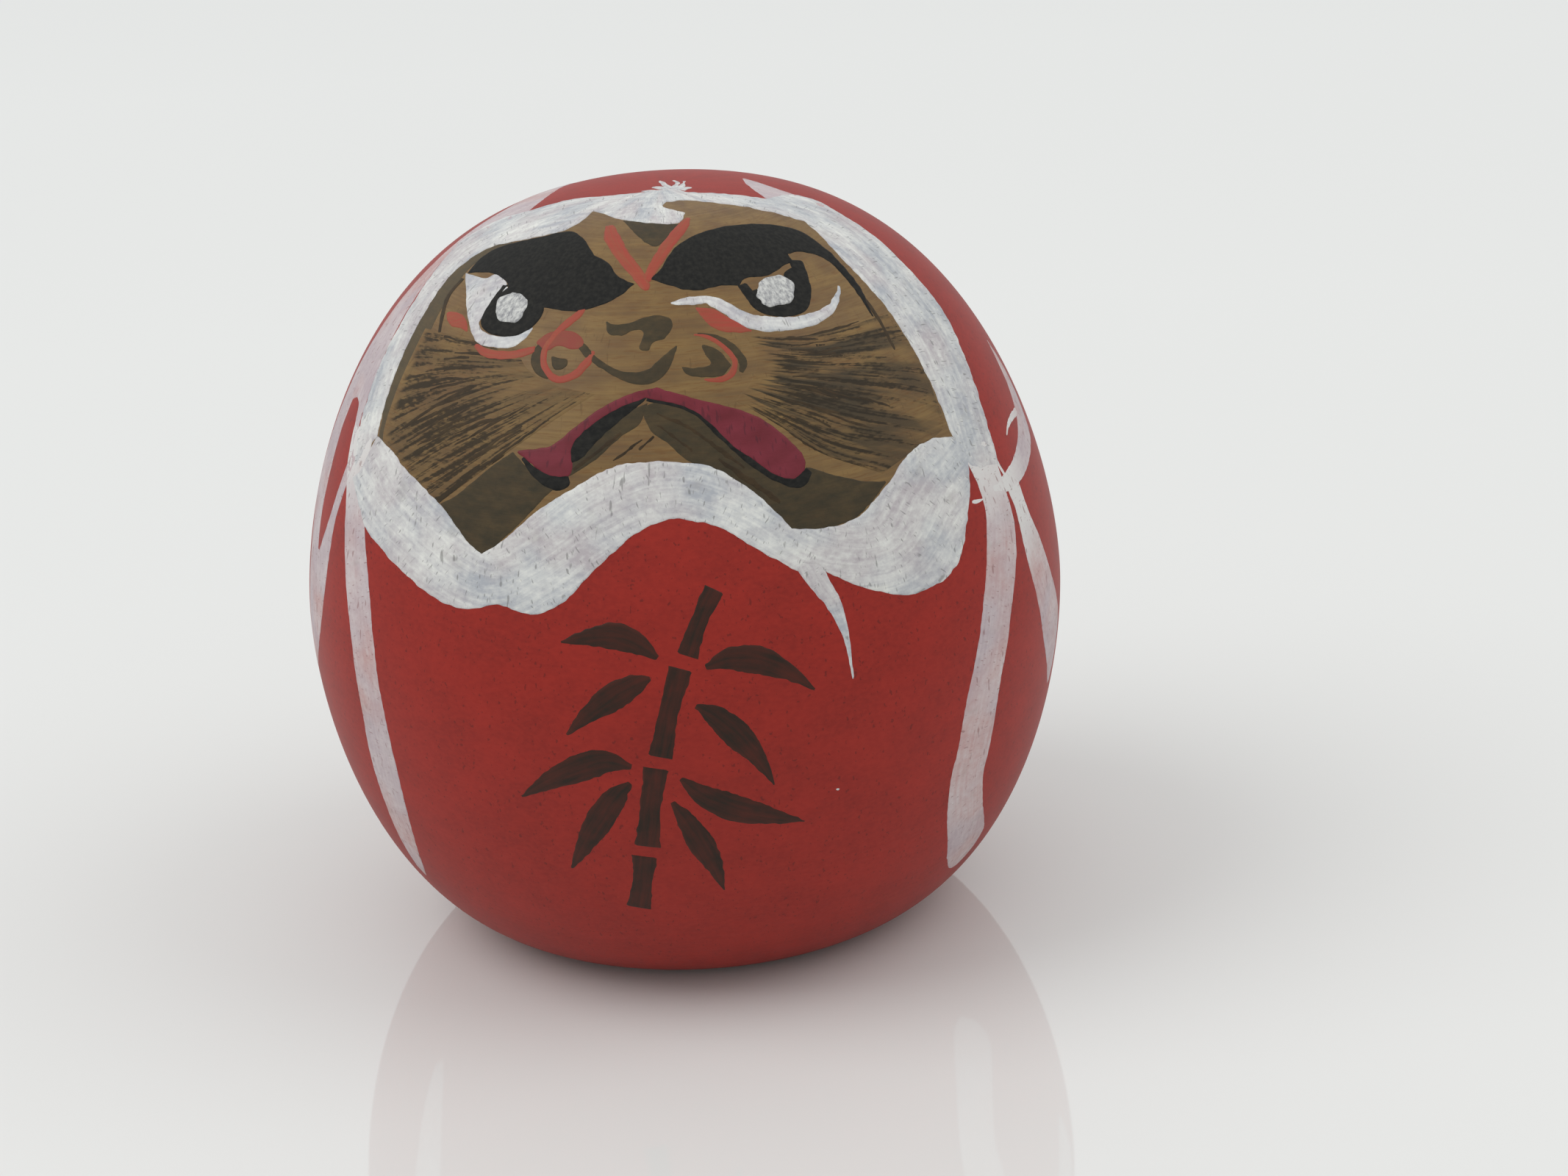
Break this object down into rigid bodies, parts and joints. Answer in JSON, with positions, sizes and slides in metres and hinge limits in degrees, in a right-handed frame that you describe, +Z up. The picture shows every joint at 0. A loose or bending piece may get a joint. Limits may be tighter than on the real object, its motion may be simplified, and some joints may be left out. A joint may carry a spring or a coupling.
{
  "type": "daruma doll",
  "caption": "Round painted wooden daruma doll: a turned body with a red robe coat, white trim, a stern brushed face and a plant sprig on the belly.",
  "frame": {"origin": "middle of the flat foot, on the surface the doll stands on", "axes": "+Z up along the turning axis, the painted face looks along -Y, +X to the viewer's right"},
  "size_m": [0.0504, 0.0506, 0.0497],
  "materials": {
    "bare_wood": "satin",
    "red_paint": "satin",
    "white_paint": "satin",
    "black_ink": "satin",
    "olive_wash": "satin",
    "crimson_paint": "satin",
    "bright_red_paint": "satin",
    "brown_ink": "satin"
  },
  "bodies": {
    "root": {"turned_wood_body": "bare_wood", "red_robe_coat": "red_paint", "hood_trim_band": "white_paint", "collar_trim_band": "white_paint", "collar_tail": "white_paint", "robe_line_left_inner": "white_paint", "robe_line_left_outer": "white_paint", "robe_line_right_inner": "white_paint", "robe_line_right_outer": "white_paint", "robe_hook_right": "white_paint", "crown_line_left": "white_paint", "crown_line_right": "white_paint", "brow_left": "black_ink", "brow_right": "black_ink", "eye_white_left": "white_paint", "eye_ring_left": "black_ink", "eye_dot_left": "white_paint", "eye_ring_right": "black_ink", "eye_dot_right": "white_paint", "under_eye_line_right": "white_paint", "nose_bridge_mark": "olive_wash", "nose_tip_line": "olive_wash", "nostril_mark_left": "olive_wash", "nostril_mark_right": "olive_wash", "nostril_curl_left": "bright_red_paint", "nostril_curl_right": "bright_red_paint", "forehead_stroke_left": "bright_red_paint", "forehead_stroke_right": "bright_red_paint", "cheek_accent_left": "bright_red_paint", "eye_accent_right": "bright_red_paint", "lip": "crimson_paint", "mouth_line": "black_ink", "beard_wash_left": "olive_wash", "beard_wash_right": "olive_wash", "forehead_wash": "olive_wash", "temple_wash": "olive_wash", "cheek_stroke_left_1": "olive_wash", "cheek_stroke_left_2": "olive_wash", "cheek_stroke_left_3": "olive_wash", "cheek_stroke_left_4": "olive_wash", "cheek_stroke_left_5": "olive_wash", "cheek_stroke_right_1": "olive_wash", "cheek_stroke_right_2": "olive_wash", "cheek_stroke_right_3": "olive_wash", "cheek_stroke_right_4": "olive_wash", "cheek_stroke_right_5": "olive_wash", "bamboo_stem_1": "brown_ink", "bamboo_stem_2": "brown_ink", "bamboo_stem_3": "brown_ink", "bamboo_stem_4": "brown_ink", "bamboo_leaf_1": "brown_ink", "bamboo_leaf_2": "brown_ink", "bamboo_leaf_3": "brown_ink", "bamboo_leaf_4": "brown_ink", "bamboo_leaf_5": "brown_ink", "bamboo_leaf_6": "brown_ink", "bamboo_leaf_7": "brown_ink", "bamboo_leaf_8": "brown_ink"}
  },
  "joints": []
}
